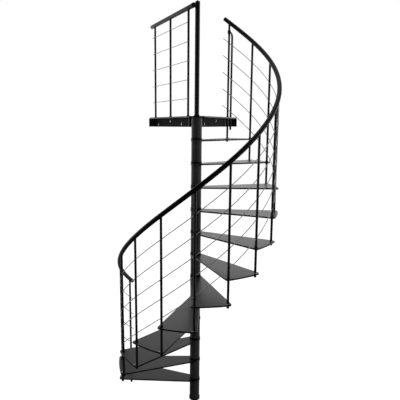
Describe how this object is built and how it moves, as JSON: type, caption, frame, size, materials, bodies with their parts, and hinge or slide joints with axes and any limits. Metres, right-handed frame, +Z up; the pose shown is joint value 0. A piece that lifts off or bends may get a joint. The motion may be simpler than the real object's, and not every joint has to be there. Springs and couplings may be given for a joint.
{
  "type": "spiral staircase",
  "caption": "Modular spiral stair: wedge treads and spacer tubes stacked on a centre column, a landing at the top, and a helical handrail with thin steel rods between balusters.",
  "frame": {"origin": "centre of the base plate's underside, on the column's axis", "axes": "+Z up the column; +Y towards the wall that the landing is fixed to; the climb turns anticlockwise about +Z"},
  "size_m": [1.5943, 1.686, 4.0231],
  "materials": {
    "column_paint": "satin",
    "tread_paint": "satin",
    "baluster_paint": "satin",
    "handrail_paint": "satin",
    "landing_paint": "satin",
    "steel_rod": "brushed",
    "zinc_steel": "satin",
    "cap_plastic": "satin"
  },
  "bodies": {
    "root": {"base_plate": "column_paint", "tension_rod": "zinc_steel", "spacer_tubes": "column_paint", "tread_01": "tread_paint", "tread_02": "tread_paint", "tread_03": "tread_paint", "tread_04": "tread_paint", "tread_05": "tread_paint", "tread_06": "tread_paint", "tread_07": "tread_paint", "tread_08": "tread_paint", "tread_09": "tread_paint", "tread_10": "tread_paint", "tread_11": "tread_paint", "tread_12": "tread_paint", "baluster_01": "baluster_paint", "baluster_02": "baluster_paint", "baluster_03": "baluster_paint", "baluster_04": "baluster_paint", "baluster_05": "baluster_paint", "baluster_06": "baluster_paint", "baluster_07": "baluster_paint", "baluster_08": "baluster_paint", "baluster_09": "baluster_paint", "baluster_10": "baluster_paint", "baluster_11": "baluster_paint", "baluster_12": "baluster_paint", "baluster_13": "baluster_paint", "handrail": "handrail_paint", "rod_line_1": "steel_rod", "rod_line_2": "steel_rod", "rod_line_3": "steel_rod", "rod_line_4": "steel_rod", "rod_line_5": "steel_rod", "landing_left_plate": "landing_paint", "landing_right_plate": "landing_paint", "landing_back_plate": "landing_paint", "landing_deck": "tread_paint", "landing_balusters": "baluster_paint", "landing_handrail": "handrail_paint", "landing_rods": "steel_rod", "newel_post": "baluster_paint", "newel_cap": "cap_plastic", "rail_knuckle": "cap_plastic", "hooked_post": "baluster_paint", "post_clamp": "cap_plastic"}
  },
  "joints": []
}
